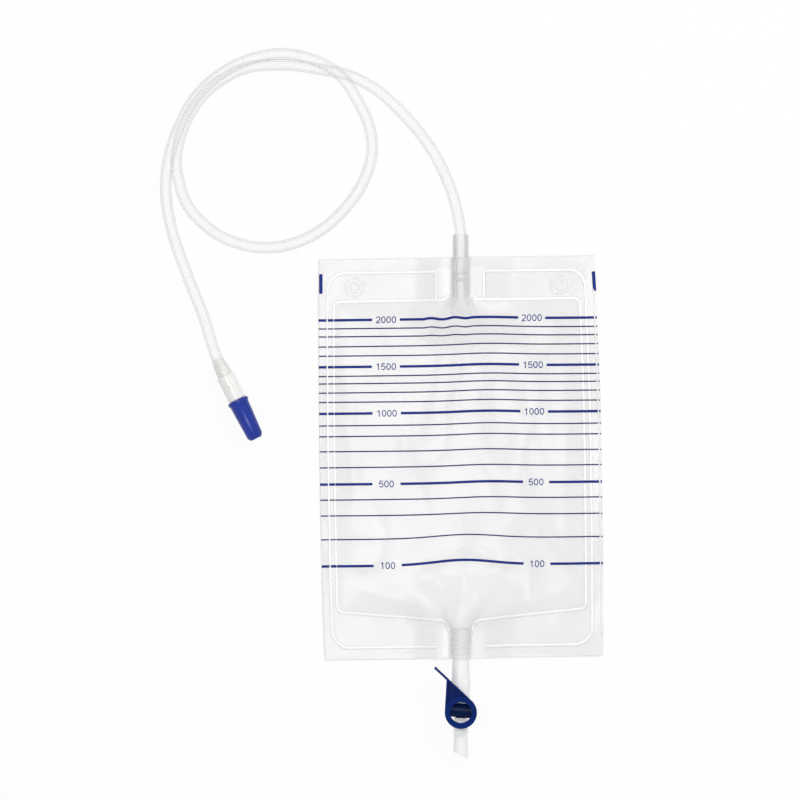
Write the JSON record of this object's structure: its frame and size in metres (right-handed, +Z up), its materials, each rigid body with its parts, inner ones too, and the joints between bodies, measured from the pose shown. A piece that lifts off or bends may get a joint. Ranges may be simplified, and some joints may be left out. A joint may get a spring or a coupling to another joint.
{
  "type": "urine drainage bag",
  "caption": "Flat welded film bag with a long inlet tube, a capped catheter connector and a lever tap with a slant-cut drain spout.",
  "frame": {"origin": "on the table under the middle of the bag with its ports and drain, the inlet tube and its end pieces apart", "axes": "+Y along the ports from the drain towards the inlet, +X across the bag, +Z up from the table"},
  "size_m": [0.3391, 0.544, 0.0215],
  "materials": {
    "clear_film": "clear soft film, glossy, softly wrinkled",
    "port_plastic": "cloudy clear soft plastic",
    "clear_tube": "clear soft tube, glossy",
    "connector_plastic": "milky semi-clear moulded plastic",
    "cap_plastic": "glossy blue moulded plastic",
    "drain_tube": "cloudy white soft tube",
    "tap_plastic": "satin navy blue moulded plastic"
  },
  "bodies": {
    "bag": {"back_film": "clear_film", "front_film": "clear_film", "inlet_port": "port_plastic", "valve_front_leaf": "clear_film", "valve_back_leaf": "clear_film", "inlet_tube": "clear_tube", "connector": "connector_plastic", "outlet_tube": "drain_tube", "tap_body": "tap_plastic", "drain_spout": "drain_tube"},
    "tap_turner": {"tap_plug": "tap_plastic", "tap_lever": "tap_plastic"},
    "cap": {"protective_cap": "cap_plastic"}
  },
  "joints": [
    {"name": "tap_turn", "type": "hinge", "parent": "bag", "child": "tap_turner", "pos_m": [0, -0.16495, 0.008], "axis": [0, 0, 1], "range_deg": [0, 95]},
    {"name": "cap_pull", "type": "slide", "parent": "bag", "child": "cap", "axis": [0.4415, -0.8973, 0], "range_m": [0, 0.032]}
  ]
}
